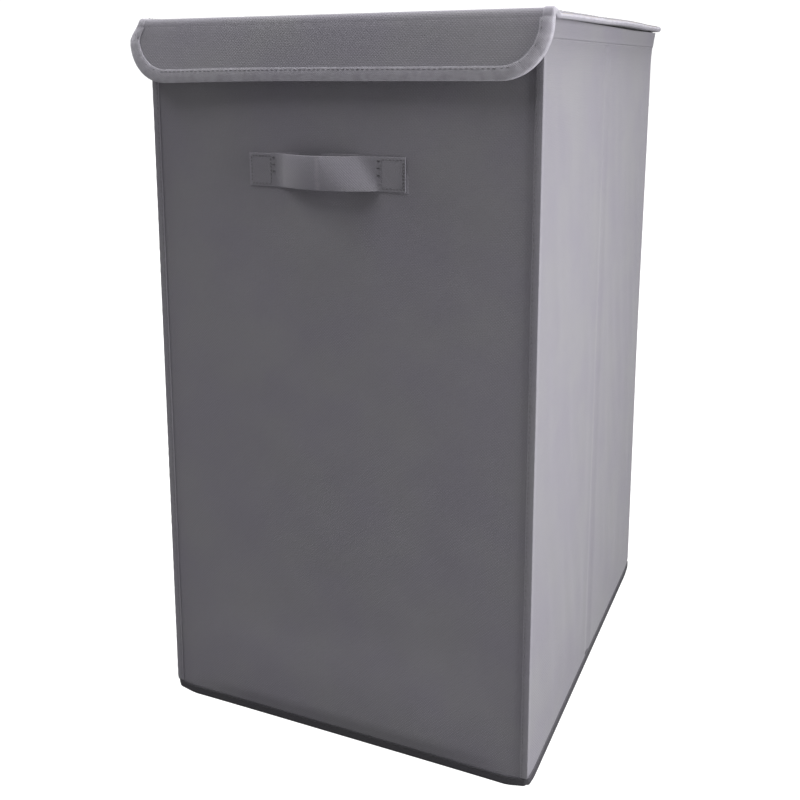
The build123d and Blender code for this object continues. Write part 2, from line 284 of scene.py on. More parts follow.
def cloth_material(name, shade, wear_and_highlight=0.25, pitch=2.4 * MM, depth=1.0, blotch=0.8, ribs=0.0, sheen=0.12):
    """Bonded cloth in one shade of grey, lighter where its edges rub and where a piece's mask paints a
    highlight, with ribs where it is a tape.
    """
    made, tree, shader = bare_material(name, sheen, 0.35 if sheen else 0.15)
    cloth = group(tree, "cloth", {
        "Colour": grey(shade, 0.8), "Tint": grey(shade * 0.93, 1.5), "Pitch": pitch,
        "Bond depth": depth, "Blotch": blotch,
    })
    # Lightens by the piece's mask: rubbing at folds and edges, and on the flap's tape a painted highlight
    # towards its outer edge.
    wear_and_highlight_mix = group(tree, "wear_and_highlight_mix", {"Colour": cloth["Colour"], "Worn and highlight colour": grey(shade * 1.7), "Amount": wear_and_highlight})
    tree.links.new(wear_and_highlight_mix["Colour"], shader.inputs["Base Color"])
    tree.links.new(cloth["Roughness"], shader.inputs["Roughness"])
    height = cloth["Height"]
    if ribs:
        rib = group(tree, "ribs", {"Pitch": 1.2 * MM, "Slant": 1.0})["Height"]
        height = maths(tree, "ADD", height, maths(tree, "MULTIPLY", rib, ribs))
    bumped(tree, shader, height, 0.16 * MM)
    return made


def thread_material(name, shade):
    """Twisted sewing thread."""
    made, tree, shader = bare_material(name, 0.1, 0.5)
    rib = group(tree, "ribs", {"Pitch": 0.5 * MM, "Slant": 0.7})["Height"]
    # Painted shade: the thread's colour darkens down in the grooves of its twist and lightens on its ridges.
    colour = mixed(tree, rib, grey(shade * 0.6), grey(shade * 1.3))
    tree.links.new(colour, shader.inputs["Base Color"])
    tree.links.new(ranged(tree, rib, 0.0, 1.0, 0.5, 0.75), shader.inputs["Roughness"])
    bumped(tree, shader, rib, 0.1 * MM)
    return made


def fastener_material(name, shade, scale, distance, roughness):
    """A field of tiny hooks or loops."""
    made, tree, shader = bare_material(name, 0.3, 0.4)
    place = put(tree, "TexCoord").outputs["UV"]
    cells = put(tree, "TexVoronoi", {"Vector": place, "Scale": scale}).outputs["Distance"]
    fuzz = put(tree, "TexNoise", {"Vector": place, "Scale": scale * 0.7, "Detail": 4.0}).outputs[0]
    height = maths(tree, "SUBTRACT", fuzz, cells)
    # Painted shade: darker down in the hollows between the hooks or loops, lighter on their tops.
    colour = mixed(tree, ranged(tree, height, -0.3, 0.5), grey(shade * 0.5), grey(shade * 1.5))
    tree.links.new(colour, shader.inputs["Base Color"])
    tree.links.new(ranged(tree, fuzz, 0.3, 0.7, roughness - 0.1, roughness + 0.1), shader.inputs["Roughness"])
    bumped(tree, shader, height, distance)
    return made


def card_material():
    """Brown board with pulp flecks and a faint lengthwise grain."""
    made, tree, shader = bare_material("stiffening board", 0.0, 0.3)
    place = put(tree, "TexCoord").outputs["UV"]
    stretched = put(tree, "Mapping", {"Vector": place, "Scale": (1, 0.08, 1)}).outputs[0]
    grain = put(tree, "TexNoise", {"Vector": stretched, "Scale": 700.0, "Detail": 4.0}).outputs[0]
    fleck = put(tree, "TexNoise", {"Vector": place, "Scale": 420.0, "Detail": 5.0}).outputs[0]
    colour = mixed(tree, ranged(tree, grain, 0.3, 0.7), (0.36, 0.29, 0.2, 1), (0.46, 0.39, 0.29, 1))
    colour = mixed(tree, ranged(tree, fleck, 0.62, 0.72), colour, (0.25, 0.19, 0.13, 1))
    tree.links.new(colour, shader.inputs["Base Color"])
    tree.links.new(ranged(tree, grain, 0.2, 0.8, 0.8, 0.95), shader.inputs["Roughness"])
    bumped(tree, shader, grain, 0.1 * MM)
    return made


CLOTH_GREY = 0.2
MATERIALS = {
    "outer_fabric": cloth_material("outer cloth", CLOTH_GREY),
    # The flap's cloth is the outer cloth painted lighter: painted light for the extra light that the flap's
    # outward lean catches.
    "flap_cloth_painted_lighter": cloth_material("flap cloth, painted lighter", CLOTH_GREY * 1.18),
    "lining_fabric": cloth_material("lining cloth", CLOTH_GREY * 0.9, pitch=3.2 * MM, depth=0.7),
    "edge_tape": cloth_material("edge tape", CLOTH_GREY * 1.42, wear_and_highlight=0.6, pitch=1.7 * MM, ribs=0.5),
    "dark_tape": cloth_material("dark tape", CLOTH_GREY * 0.36, wear_and_highlight=0.15, ribs=0.6, sheen=0.0),
    "strap_fabric": cloth_material("strap cloth", CLOTH_GREY * 1.1, wear_and_highlight=0.35, pitch=1.9 * MM),
    "loop_fastener": fastener_material("loop pad", 0.07, 900.0, 0.5 * MM, 0.85),
    "hook_fastener": fastener_material("hook pad", 0.05, 1300.0, 0.4 * MM, 0.5),
    "stiffening_card": card_material(),
    "thread": thread_material("thread", CLOTH_GREY * 0.6),
    "pale_thread": thread_material("pale thread", CLOTH_GREY * 1.0),
    "dark_thread": thread_material("dark thread", CLOTH_GREY * 0.2),
}


# ---------------------------------------------------------------- shaping the cloth


def splay(z):
    """How far a wall stands out from its true plane at a height."""
    return FOOT_SPLAY - (FOOT_SPLAY + RIM_SPLAY) * z / RIM_TOP


def body_shape(p):
    """Moves a point of the true box to the sewn body: splayed, with round lifted corners and a flared rim."""
    x, y, z = p
    side, end = (1 if x > 0 else -1), (1 if y > 0 else -1)
    outward_x, outward_y = side * splay(z) * min(1, abs(x) / HALF_W), end * splay(z) * min(1, abs(y) / HALF_D)
    radius = BASE_CORNER * max(0.0, 1 - z / BASE_CORNER_HEIGHT) ** 1.5
    u, v = abs(x) - (HALF_W - radius), abs(y) - (HALF_D - radius)
    if u > 0 and v > 0:
        pull = max(u, v) / hypot(u, v)
        x = side * (HALF_W - radius + u * pull)
        y = end * (HALF_D - radius + v * pull)
    curl = FOOT_CURL * max(0.0, 1 - z / FOOT_CURL_HEIGHT) ** 2
    across = 1 - min(1.0, abs(x) / HALF_W) ** 4
    y -= end * curl * across * smooth((abs(y) - (HALF_D - CURL_REACH)) / CURL_REACH)
    near = smooth(1 - hypot(HALF_W - abs(p.x), HALF_D - abs(p.y)) / CORNER_LIFT_REACH)
    z += CORNER_LIFT * near * max(0.0, 1 - z / CORNER_LIFT_HEIGHT) ** 2
    flare = FLARE * max(0.0, (z - RIM_TOP + FLARE_HEIGHT) / FLARE_HEIGHT) ** 2
    flare += SPREAD * smooth((z - RIM_TOP + SPREAD_HEIGHT) / SPREAD_HEIGHT)
    flare *= smooth((y - HALF_D + FLARE_LENGTH) / FLARE_LENGTH) * smooth(4 * abs(x) / HALF_W - 3)
    return Vector((x + side * flare + outward_x, y + outward_y, z))


def puckers(along, distance=0.0):
    """The small gathers that a seam leaves in the cloth beside it."""
    fade = exp(-max(distance, 0.0) / PUCKER_REACH)
    uneven = 0.6 + 0.4 * ripple(along * 31, 3.7, 0.2)
    turn = 2 * pi * along / PUCKER_LENGTH + 2.5 * ripple(along * 47, 1.3, 8.1)
    return PUCKER * fade * uneven * (1 + sin(turn))


def beside(along, distance):
    """Gathers that start where the cloth leaves a seam."""
    return puckers(along, distance) * smooth(distance / (2.5 * MM))


def end_wall_slack(p):
    """How far the cloth of the front or back stands off its card."""
    edge_x, edge_z = HALF_W - SEAM_WIDTH - abs(p.x), min(p.z - FOOT_TOP, RIM_BOTTOM - p.z)
    crown = smooth(edge_x / (60 * MM)) * smooth(edge_z / (60 * MM))
    drape = 0.5 * ripple(p.x * 14, p.z * 7, p.y) + 0.28 * ripple(p.x * 37, p.z * 29, 5 + p.y)
    belly = BELLY * smooth(edge_x / (90 * MM)) * smooth((p.z - FOOT_TOP + 2 * MM) / (14 * MM))
    belly *= 1 - smooth((p.z - FOOT_TOP - 16 * MM) / (90 * MM))
    return PANEL_CROWN * crown * (0.55 + drape) + belly + min(beside(p.z, edge_x), beside(p.x, edge_z))


def crease_dip(p):
    """How far a side dips at the fold between its two cards."""
    return CREASE_DEPTH * exp(-((abs(p.y) / CREASE_HALF_WIDTH) ** 2))


def side_wall_slack(p):
    """How far the cloth of a side stands off its two cards; it dips at the crease between them."""
    edge_y, edge_z = HALF_D - abs(p.y), min(p.z - FOOT_TOP, RIM_BOTTOM - p.z)
    from_crease = abs(p.y)
    crown = smooth(edge_y / (50 * MM)) * smooth(edge_z / (60 * MM)) * smooth(from_crease / (45 * MM))
    streaks = 0.5 * ripple(p.y * 24, p.z * 4.5, p.x) + 0.35 * ripple(p.y * 61 + p.z * 12, p.z * 9, 3 + p.x)
    ridge = 0.7 * MM * exp(-(((from_crease - 12 * MM) / (7 * MM)) ** 2)) * smooth(edge_z / (10 * MM))
    gathers = min(beside(p.z, edge_y), beside(p.y, edge_z))
    return PANEL_CROWN * crown * (0.6 + streaks) + gathers + ridge - crease_dip(p)


def lining_slack(p):
    """The lining lies close to its card."""
    return 0.12 * MM * (1 + ripple(p.x * 23 + 7, p.y * 23, p.z * 17))


def side_lining_slack(p):
    """A side's lining also gives a little at the crease between its cards."""
    return lining_slack(p) + 0.25 * crease_dip(p)


def askew(p):
    """The lid sits a little askew: its front is shifted to the left, and the fold's left end drawn in."""
    share = min(1.0, max(0.0, (LID_HIGH.y - p.y) / (LID_HIGH.y - LID_LOW.y)))
    x = p.x - LID_SHIFT * share
    near = smooth((-p.x - 145 * MM) / (30 * MM)) * (1 - smooth((p.y - LID_LOW.y) / (50 * MM)))
    return Vector((x + CORNER_PULL * near * smooth((p.z - RIM_TOP + 12 * MM) / (16 * MM)), p.y, p.z))


def lid_shape(p):
    """The lid's cloth and edges wave a little; its front edge stays true to the fold."""
    fade = smooth((p.y - LID_LOW.y) / (50 * MM)) * smooth((LID_HIGH.y - p.y) / (30 * MM))
    wave = 1 + 0.75 * ripple(p.x * 5.5, p.y * 11, 2.0) + 0.35 * ripple(p.x * 13, p.y * 31, 4.0)
    q = askew(p)
    behind = p.y - LID_LOW.y
    droop = smooth(behind / (14 * MM)) * (1 - smooth(behind / (300 * MM)))
    droop *= smooth((p.x - 158 * MM) / (14 * MM))
    return Vector((q.x, q.y, q.z + 0.5 * LID_WAVE * fade * max(0.0, wave) - EDGE_DROOP * droop))


def flap_shape(p):
    """The flap leans out towards its lower edge, most at its left end, and waves a little."""
    drop = max(0.0, (FLAP_HIGH.z - p.z) / (FLAP_HIGH.z - FLAP_LOW.z))
    end = smooth(-p.x / FLAP_HIGH.x - 0.15)
    wave = 0.5 * MM * ripple(p.x * 17, p.z * 9, 1.0) * smooth(1.5 * drop)
    lean = drop**1.4 * (FLAP_LEAN + FLAP_END_LEAN * end)
    q = askew(p)
    tuck = FLAP_TUCK * exp(-3 * drop)
    return Vector((q.x, q.y + tuck - lean + wave, q.z - drop * (FLAP_SAG + 2 * FLAP_SAG * end)))


# ---------------------------------------------------------------- building pieces


def unwrap(bm):
    """Lays out the piece's UV map in metres, each face seen along its main direction."""
    uv = bm.loops.layers.uv.new("UVMap")
    for face in bm.faces:
        n = [abs(c) for c in face.normal]
        main = n.index(max(n))
        a, b = ((1, 2), (0, 2), (0, 1))[main]
        for loop in face.loops:
            loop[uv].uv = (loop.vert.co[a], loop.vert.co[b])


def mark_wear(bm, sharp=radians(50)):
    """Marks the vertices on folds and edges, where cloth rubs lighter."""
    wear_and_highlight = bm.verts.layers.float.new("wear_and_highlight")
    for edge in bm.edges:
        if len(edge.link_faces) == 2:
            share = min(1.0, edge.calc_face_angle(0.0) / sharp)
            for vert in edge.verts:
                vert[wear_and_highlight] = max(vert[wear_and_highlight], share if share > 0.25 else 0.0)


def piece(name, bm, slot, replaced=(), material=None, body=None):
    """Turns a bmesh into a smooth-shaded piece of the model with its finish."""
    bm.normal_update()
    unwrap(bm)
    mark_wear(bm)
    mesh = bpy.data.meshes.new(name)
    bm.to_mesh(mesh)
    bm.free()
    mesh.materials.append(MATERIALS[material or slot])
    mesh.polygons.foreach_set("use_smooth", [True] * len(mesh.polygons))
    mesh.set_sharp_from_angle(angle=radians(55))
    made = bpy.data.objects.new(name, mesh)
    bpy.context.scene.collection.objects.link(made)
    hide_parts(*replaced)
    if body:
        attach(made, body)
    return made


def outward(bm):
    """Points every face of a closed shape outwards."""
    bmesh.ops.remove_doubles(bm, verts=bm.verts, dist=0.01 * MM)
    bmesh.ops.recalc_face_normals(bm, faces=bm.faces)
    return bm


def move(bm, shape):
    """Moves every vertex by a function of its place."""
    for vert in bm.verts:
        vert.co = shape(vert.co)
    return bm


def cut(bm, axis, low, high, step):
    """Cuts a shape across with evenly spaced planes, so that it can bend."""
    count = max(1, round((high - low) / step))
    for i in range(1, count):
        at = low + (high - low) * i / count
        bmesh.ops.bisect_plane(bm, geom=whole(bm), plane_co=AXES[axis] * at, plane_no=AXES[axis])


def grid_sheet(low, high, step, slack=None, shape=None, inward=False):
    """A flat sheet of cloth or card that fills a thin box, shaped and then thickened."""
    size = high - low
    thin = min(range(3), key=lambda i: size[i])
    a, b = [i for i in range(3) if i != thin]
    middle = (low + high) / 2
    sign = 1 if middle[thin] > 0 else -1
    if thin == 2:
        sign = 1
    if inward:
        sign = -sign
    normal = AXES[thin] * sign
    bm = bmesh.new()
    counts = [max(2, round(size[i] / step)) for i in (a, b)]
    bmesh.ops.create_grid(bm, x_segments=counts[0], y_segments=counts[1], size=0.5)
    place = Matrix((AXES[a] * size[a], AXES[b] * size[b], normal)).transposed().to_4x4()
    face_at = middle + normal * size[thin] / 2
    bmesh.ops.transform(bm, matrix=Matrix.Translation(face_at) @ place, verts=bm.verts)
    for face in bm.faces:
        if face.normal.dot(normal) < 0:
            face.normal_flip()
    if slack:
        for vert in bm.verts:
            vert.co += normal * slack(vert.co)
    if shape:
        move(bm, shape)
    bmesh.ops.solidify(bm, geom=bm.faces[:], thickness=size[thin])
    return outward(bm)


def bevel(bm, geom, offset, segments, affect="EDGES"):
    """Rounds edges or corners with an even profile."""
    bmesh.ops.bevel(bm, geom=geom, offset=offset, segments=segments, profile=0.5, affect=affect, material=-1)


def upright_face(middle, width, height):
    """One rectangular face that stands across the depth."""
    bm = bmesh.new()
    size = Matrix.Diagonal((width, height, 1, 1))
    place = Matrix.Translation(middle) @ Matrix.Rotation(radians(90), 4, "X") @ size
    bmesh.ops.create_grid(bm, x_segments=1, y_segments=1, size=0.5, matrix=place)
    return bm


def rounded_block(low, high, radius, segments=3, keep=None):
    """A block with rounded edges; keep chooses the edges to round."""
    bm = bmesh.new()
    size = high - low
    place = Matrix.Translation((low + high) / 2) @ Matrix.Diagonal((*size, 1))
    bmesh.ops.create_cube(bm, size=1, matrix=place)
    edges = [e for e in bm.edges if keep is None or keep(e)]
    bevel(bm, edges, radius, segments)
    return bm


def runs_along(axis):
    """Chooses the edges that run along an axis."""
    return lambda edge: abs((edge.verts[0].co - edge.verts[1].co).normalized()[axis]) > 0.99


def ring(half_x, half_y, corner, wall, low, high, soft):
    """A closed band round the body, with round corners and soft edges above and below."""
    bm = bmesh.new()
    place = Matrix.Translation((0, 0, high)) @ Matrix.Diagonal((2 * half_x, 2 * half_y, 1, 1))
    bmesh.ops.create_grid(bm, x_segments=1, y_segments=1, size=0.5, matrix=place)
    band = bmesh.ops.inset_region(
        bm, faces=bm.faces[:], thickness=wall, use_boundary=True, use_even_offset=True,
    )["faces"]
    bmesh.ops.delete(bm, geom=[f for f in bm.faces if f not in band], context="FACES")
    sweep(bm, whole(bm), dvec=(0, 0, low - high), axis=(0, 0, 1))
    outward(bm)
    upright = [e for e in bm.edges if runs_along(2)(e) and abs(e.verts[0].co.x) > half_x - 0.1 * MM]
    bevel(bm, upright, corner, 5)
    outside = [e for e in bm.edges if not runs_along(2)(e) and all(
        abs(v.co.x) > half_x - corner - 0.1 * MM or abs(v.co.y) > half_y - corner - 0.1 * MM for v in e.verts
    )]
    outside = [e for e in outside if e.calc_face_angle(0) > radians(70)]
    bevel(bm, outside, soft, 3)
    cut(bm, 0, -half_x, half_x, 5 * MM)
    cut(bm, 1, -half_y, half_y, 5 * MM)
    cut(bm, 2, low, high, 3 * MM)
    return bm


def whole(bm):
    """Everything in a bmesh."""
    return bm.verts[:] + bm.edges[:] + bm.faces[:]


def joined(bm, part):
    """Adds one bmesh to another."""
    mesh = bpy.data.meshes.new("part")
    part.to_mesh(mesh)
    part.free()
    bm.from_mesh(mesh)
    bpy.data.meshes.remove(mesh)


def stitches(
    bm, start, end, outward_way, pitch=STITCH_PITCH, length=STITCH_LENGTH, radius=STITCH_RADIUS, shape=None,
):
    """A straight run of thread stitches, sunk half way into the cloth."""
    way = (end - start).normalized()
    count = max(1, int((end - start).length / pitch + 0.01))
    side = outward_way.cross(way).normalized()
    lie = Matrix((way, side, outward_way)).transposed().to_4x4()
    size = Matrix.Diagonal((length / 2, radius, radius * 0.8, 1))
    spot = Matrix.Translation(start + way * pitch / 2 + outward_way * radius * 0.2) @ lie @ size
    run = bmesh.new()
    bmesh.ops.create_uvsphere(run, u_segments=6, v_segments=4, radius=1, matrix=spot)
    if count > 1:
        bmesh.ops.spin(
            run, geom=whole(run), cent=(0, 0, 0), axis=(0, 0, 1), dvec=way * pitch, angle=0.0,
            steps=count - 1, use_duplicate=True,
        )
    if shape:
        move(run, shape)
    joined(bm, run)


def stitch_round(bm, corners, outward_way, **how):
    """Stitches from each corner to the next, and back to the first."""
    for start, end in zip(corners, corners[1:] + corners[:1]):
        stitches(bm, start, end, outward_way, **how)


# ---------------------------------------------------------------- the walls


def walls():
    """Cloth, card and lining of the four walls."""
    slack = dict(zip(SIDES, (end_wall_slack, end_wall_slack, side_wall_slack, side_wall_slack)))
    cards = [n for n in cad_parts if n.endswith("_card") and n.split("_")[0] in slack]
    for side, rule in slack.items():
        node = f"{side}_outer_fabric"
        low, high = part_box(node)
        skin = grid_sheet(low, high, 5 * MM, rule, body_shape)
        skin = piece(f"{side}_wall_cloth", skin, "outer_fabric", [node], body="walls")
        node = f"{side}_lining"
        inner_low, inner_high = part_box(node)
        lies = lining_slack if rule is end_wall_slack else side_lining_slack
        inner = grid_sheet(inner_low, inner_high, 9 * MM, lies, body_shape, inward=True)
        inner = piece(f"{side}_wall_lining", inner, "lining_fabric", [node], body="walls")
    for node in cards:
        low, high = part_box(node)
        name = node.replace("_card", "_wall_card")
        if node.startswith(("left", "right")) and low.y > 0:
            low.y += CREASE_GAP
        elif node.startswith(("left", "right")):
            high.y -= CREASE_GAP
        piece(name, grid_sheet(low, high, 7 * MM, shape=body_shape), "stiffening_card", [node], body="walls")


def bindings():
    """The tape round the rim and the dark tape round the foot."""
    wall = HALF_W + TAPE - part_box("rim_tape_right")[0].x
    rim = ring(HALF_W + TAPE, HALF_D + TAPE, 2.4 * MM, wall, RIM_BOTTOM, RIM_TOP, 0.7 * MM)

    def rim_shape(p):
        outer = 1 if max(abs(p.x) - HALF_W, abs(p.y) - HALF_D) > -0.5 * MM else -1
        along = p.y if abs(p.x) - HALF_W > abs(p.y) - HALF_D else p.x
        gather = 0.5 * puckers(along, 0.4 * abs(p.z - RIM_BOTTOM - 2 * MM)) * outer
        gather -= 0.75 * MM * outer * (1 - smooth((p.z - RIM_BOTTOM) / (2.5 * MM)))
        push = AXES[0] * (1 if p.x > 0 else -1) if along == p.y else AXES[1] * (1 if p.y > 0 else -1)
        return body_shape(p + push * gather)

    nodes = [f"rim_tape_{side}" for side in SIDES]
    piece("rim_binding", move(rim, rim_shape), "edge_tape", nodes, material="outer_fabric", body="walls")
    foot = ring(HALF_W + TAPE, HALF_D + TAPE, 4 * MM, wall, 0.0, FOOT_TOP, 1.0 * MM)
    nodes = [f"base_tape_{side}" for side in SIDES]
    piece("foot_binding", move(foot, body_shape), "dark_tape", nodes, body="walls")


def corner_seams():
    """The stitched-down seams along the upright corners."""
    thread = bmesh.new()
    for corner in ("front_left", "front_right", "back_left", "back_right"):
        node = f"corner_seam_{corner}"
        low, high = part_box(node)
        side, end = (1 if low.x > 0 else -1), (1 if low.y > 0 else -1)
        low.y, high.y = (low.y, high.y + 0.4 * MM) if end < 0 else (low.y - 0.4 * MM, high.y)
        bar = rounded_block(low, high, 0.45 * MM, keep=runs_along(2))
        cut(bar, 2, low.z, high.z, 5 * MM)

        def seam_shape(p, side=side, end=end):
            inner = 1 if abs(p.x) < HALF_W - 2 * MM else 0
            stand = end * (0.15 * MM + 0.8 * puckers(p.z, 0)) if abs(p.y) > HALF_D else 0
            waver = 0.25 * MM * ripple(p.z * 40, side, end)
            return body_shape(Vector((p.x + side * inner * waver, p.y + stand, p.z)))

        name = node.replace("corner_seam", "seam")
        piece(name, move(bar, seam_shape), "outer_fabric", [node], body="walls")
        face = end * (HALF_D + 1.1 * MM)
        x = side * (abs(low.x if side > 0 else high.x) + 1.3 * MM)
        foot, head = Vector((x, face, low.z)), Vector((x, face, high.z))
        stitches(thread, foot, head, AXES[1] * end, shape=body_shape)
    piece("corner_seam_stitches", thread, "outer_fabric", material="thread", body="walls")


def around_body(thread, z, gap, corner):
    """Stitches round the body at one height."""
    half_x, half_y = HALF_W - corner, HALF_D - corner
    for sign in (-1, 1):
        y, x = sign * (HALF_D + gap), sign * (HALF_W + gap)
        stitches(thread, Vector((-half_x, y, z)), Vector((half_x, y, z)), AXES[1] * sign, shape=body_shape)
        stitches(thread, Vector((x, -half_y, z)), Vector((x, half_y, z)), AXES[0] * sign, shape=body_shape)


def binding_stitches():
    """The thread that holds the rim and foot tapes."""
    rim = bmesh.new()
    around_body(rim, RIM_BOTTOM + 2 * MM, TAPE, 4 * MM)
    piece("rim_stitches", rim, "edge_tape", material="pale_thread", body="walls")
    foot = bmesh.new()
    around_body(foot, FOOT_TOP - 1.8 * MM, TAPE, 9 * MM)
    piece("foot_stitches", foot, "dark_tape", material="dark_thread", body="walls")


def base():
    """The sewn-in base cloth and the loose board in its sleeve."""
    low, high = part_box("base_fabric")
    reach = Vector((2 * MM, 2 * MM, 0))
    cloth = grid_sheet(low - reach, high + reach, 12 * MM, shape=body_shape)
    cloth = piece("base_cloth", cloth, "lining_fabric", ["base_fabric"], body="walls")
    low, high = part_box("base_board_card")
    card = rounded_block(low, high - Vector((0, 0.5 * MM, 0)), 0.2 * MM, segments=1)
    piece("base_board_core", card, "stiffening_card", ["base_board_card"], body="base_board")
    low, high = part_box("base_board_cover")
    sleeve = rounded_block(low, high, 1.0 * MM, keep=lambda e: not all(v.co.y > high.y - MM for v in e.verts))
    rear = [f for f in sleeve.faces if f.normal.y > 0.9]
    bmesh.ops.delete(sleeve, geom=rear, context="FACES")
    cut(sleeve, 0, low.x, high.x, 12 * MM)
    cut(sleeve, 1, low.y, high.y, 12 * MM)
    top = high.z - 0.3 * MM

    def sleeve_shape(p):
        rise = 0.3 * MM * (1 + ripple(p.x * 19, p.y * 19, 6.0)) if p.z > top else 0
        return p + Vector((0, 0, rise))

    move(sleeve, sleeve_shape)
    bmesh.ops.recalc_face_normals(sleeve, faces=sleeve.faces)
    bmesh.ops.solidify(sleeve, geom=sleeve.faces[:], thickness=0.5 * MM)
    piece("base_board_sleeve", sleeve, "lining_fabric", ["base_board_cover"], body="base_board")
    low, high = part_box("base_board_pull_tab")
    lift = Vector((0, 0, 0.35 * MM))
    tab = rounded_block(low + lift, high + lift, 0.4 * MM)
    cut(tab, 1, low.y, high.y, 3 * MM)
    middle, half = (low.y + high.y) / 2, (high.y - low.y) / 2

    def tab_shape(p):
        return p + Vector((0, 0, 1.6 * MM * max(0.0, 1 - ((p.y - middle) / (half * 0.7)) ** 2)))

    piece("base_board_tab", move(tab, tab_shape), "strap_fabric", ["base_board_pull_tab"], body="base_board")
    thread = bmesh.new()
    for y in (low.y + 3 * MM, low.y + 9 * MM, high.y - 3 * MM, high.y - 9 * MM):
        start = Vector((low.x + 2 * MM, y, high.z + 0.3 * MM))
        end = Vector((high.x - 2 * MM, y, high.z + 0.3 * MM))
        stitches(thread, start, end, AXES[2], pitch=3 * MM, length=2.2 * MM)
    piece("base_board_stitches", thread, "strap_fabric", material="dark_thread", body="base_board")


# ---------------------------------------------------------------- the lid and its flap


def tape_section(x_low, x_high, z_low, z_high, y, soft):
    """The rounded cross-section of a folded edge tape, as a face at one depth."""
    middle = Vector(((x_low + x_high) / 2, y, (z_low + z_high) / 2))
    bm = upright_face(middle, x_high - x_low, z_high - z_low)
    bevel(bm, bm.verts[:], soft, 4, "VERTICES")
    return bm


def sweep(bm, geom, dvec=(0, 0, 0), angle=0.0, centre=(0, 0, 0), axis=(1, 0, 0), steps=1):
    """Draws geometry along in even steps, straight or round a centre, and returns its far end."""
    return bmesh.ops.spin(
        bm, geom=geom, cent=centre, axis=axis, dvec=Vector(dvec) / steps, angle=angle, steps=steps,
    )["geom_last"]


def lid_panels():
    """Top cloth, card and lining of the lid."""
    low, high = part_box("lid_top_fabric")
    top = grid_sheet(low, high, 6 * MM, shape=lid_shape)
    top = piece("lid_top_cloth", top, "outer_fabric", ["lid_top_fabric"], body="lid")
    low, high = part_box("lid_card")
    board = grid_sheet(low, high, 12 * MM, shape=lid_shape)
    piece("lid_board", board, "stiffening_card", ["lid_card"], body="lid")
    low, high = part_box("lid_lining")
    under = grid_sheet(low, high, 8 * MM, shape=lid_shape, inward=True)
    under = piece("lid_under_cloth", under, "lining_fabric", ["lid_lining"], body="lid")


def lid_edges():
    """The folded tape along the lid's two sides, and its stitches."""
    thread = bmesh.new()
    for side in ("left", "right"):
        node = f"lid_edge_tape_{side}"
        low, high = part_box(node)
        sign = 1 if low.x > 0 else -1
        bar = tape_section(low.x, high.x, low.z, high.z, low.y, 2.2 * MM)
        sweep(bar, whole(bar), dvec=(0, high.y - low.y, 0), steps=90)
        outward(bar)

        def edge_shape(p, sign=sign, low=low, high=high):
            outer = smooth((abs(p.x) - HALF_W) / (8 * MM))
            waver = 0.5 * MM * ripple(p.y * 26, 3 * sign, 1.0) + 0.25 * MM * ripple(p.y * 90, 3 * sign, 7.0)
            fade = smooth((p.y - low.y) / (20 * MM)) * smooth((high.y - p.y) / (20 * MM))
            swell = 0.5 * puckers(p.y, 0) if p.z > LID_MIDDLE else 0
            q = lid_shape(p)
            thin = 1.3 * MM * outer if p.z > LID_MIDDLE else 0
            return q + Vector((sign * outer * waver * fade, 0, (swell + 0.6 * abs(waver) - thin) * fade))

        piece(f"lid_binding_{side}", move(bar, edge_shape), "edge_tape", [node], body="lid")
        x = (low.x if sign > 0 else high.x) + sign * 1.6 * MM
        for z, way in ((high.z, AXES[2]), (low.z, -AXES[2])):
            stitches(thread, Vector((x, low.y + 2 * MM, z)), Vector((x, high.y, z)), way, shape=edge_shape)
    piece("lid_stitches", thread, "edge_tape", material="thread", body="lid")


FOLD_CENTRE = Vector((0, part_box("lid_top_fabric")[0].y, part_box("flap_outer_fabric")[1].z))


def fold():
    """The soft fold between the lid and the flap: outer cloth, lining, and the tape at each end."""
    half = LID_HIGH.x
    cloth = LID_HIGH.z - LID_LOW.z
    inner_low, inner_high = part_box("lid_lining")
    bm = bmesh.new()
    lap = 4 * MM
    sink = 0.3 * MM
    for z, thick, over in ((LID_HIGH.z, cloth, sink), (inner_high.z, inner_high.z - inner_low.z, -sink)):
        line = bmesh.new()
        ends = [line.verts.new((x, FOLD_CENTRE.y + lap, z - over)) for x in (-half, half)]
        bmesh.ops.subdivide_edges(line, edges=[line.edges.new(ends)], cuts=60)
        row = sweep(line, line.verts[:] + line.edges[:], dvec=(0, -lap, over), steps=2)
        row = sweep(line, row, angle=radians(90), centre=FOLD_CENTRE, axis=(1, 0, 0), steps=12)
        sweep(line, row, dvec=(0, over, -lap), steps=2)
        outward(line)
        for face in line.faces:
            if face.normal.dot(face.calc_center_median() - FOLD_CENTRE - Vector((0, 1, -1)) * lap) < 0:
                face.normal_flip()
        move(line, fold_shape)
        bmesh.ops.solidify(line, geom=line.faces[:], thickness=thick)
        joined(bm, line)
    outward(bm)
    # The fold takes the flap's lighter-painted copy of the outer cloth.
    made = piece("lid_fold", bm, "outer_fabric", ["flap_fold"], "flap_cloth_painted_lighter")
    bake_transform(made)
    for side in ("left", "right"):
        low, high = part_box(f"lid_edge_tape_{side}")
        bar = tape_section(low.x, high.x, low.z, high.z, FOLD_CENTRE.y, 2.2 * MM)
        sweep(bar, whole(bar), angle=radians(90), centre=FOLD_CENTRE, axis=(1, 0, 0), steps=9)
        bar = piece(f"fold_binding_{side}", move(outward(bar), fold_shape), "edge_tape")
        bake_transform(bar)


def fold_shape(p):
    """The fold follows the lid above and the flap below, and meets the flap at its own slope."""
    if p.z < FOLD_CENTRE.z:
        return flap_shape(p)
    if p.y > FOLD_CENTRE.y:
        return askew(p)
    out, rise = FOLD_CENTRE.y - p.y, p.z - FOLD_CENTRE.z
    radius = hypot(out, rise)
    slope = 3 * FLAP_TUCK / (FLAP_HIGH.z - FLAP_LOW.z)
    shift = FLAP_TUCK * out / radius + slope * rise * (1 - rise / radius)
    return Vector((askew(p).x, p.y + shift, p.z))


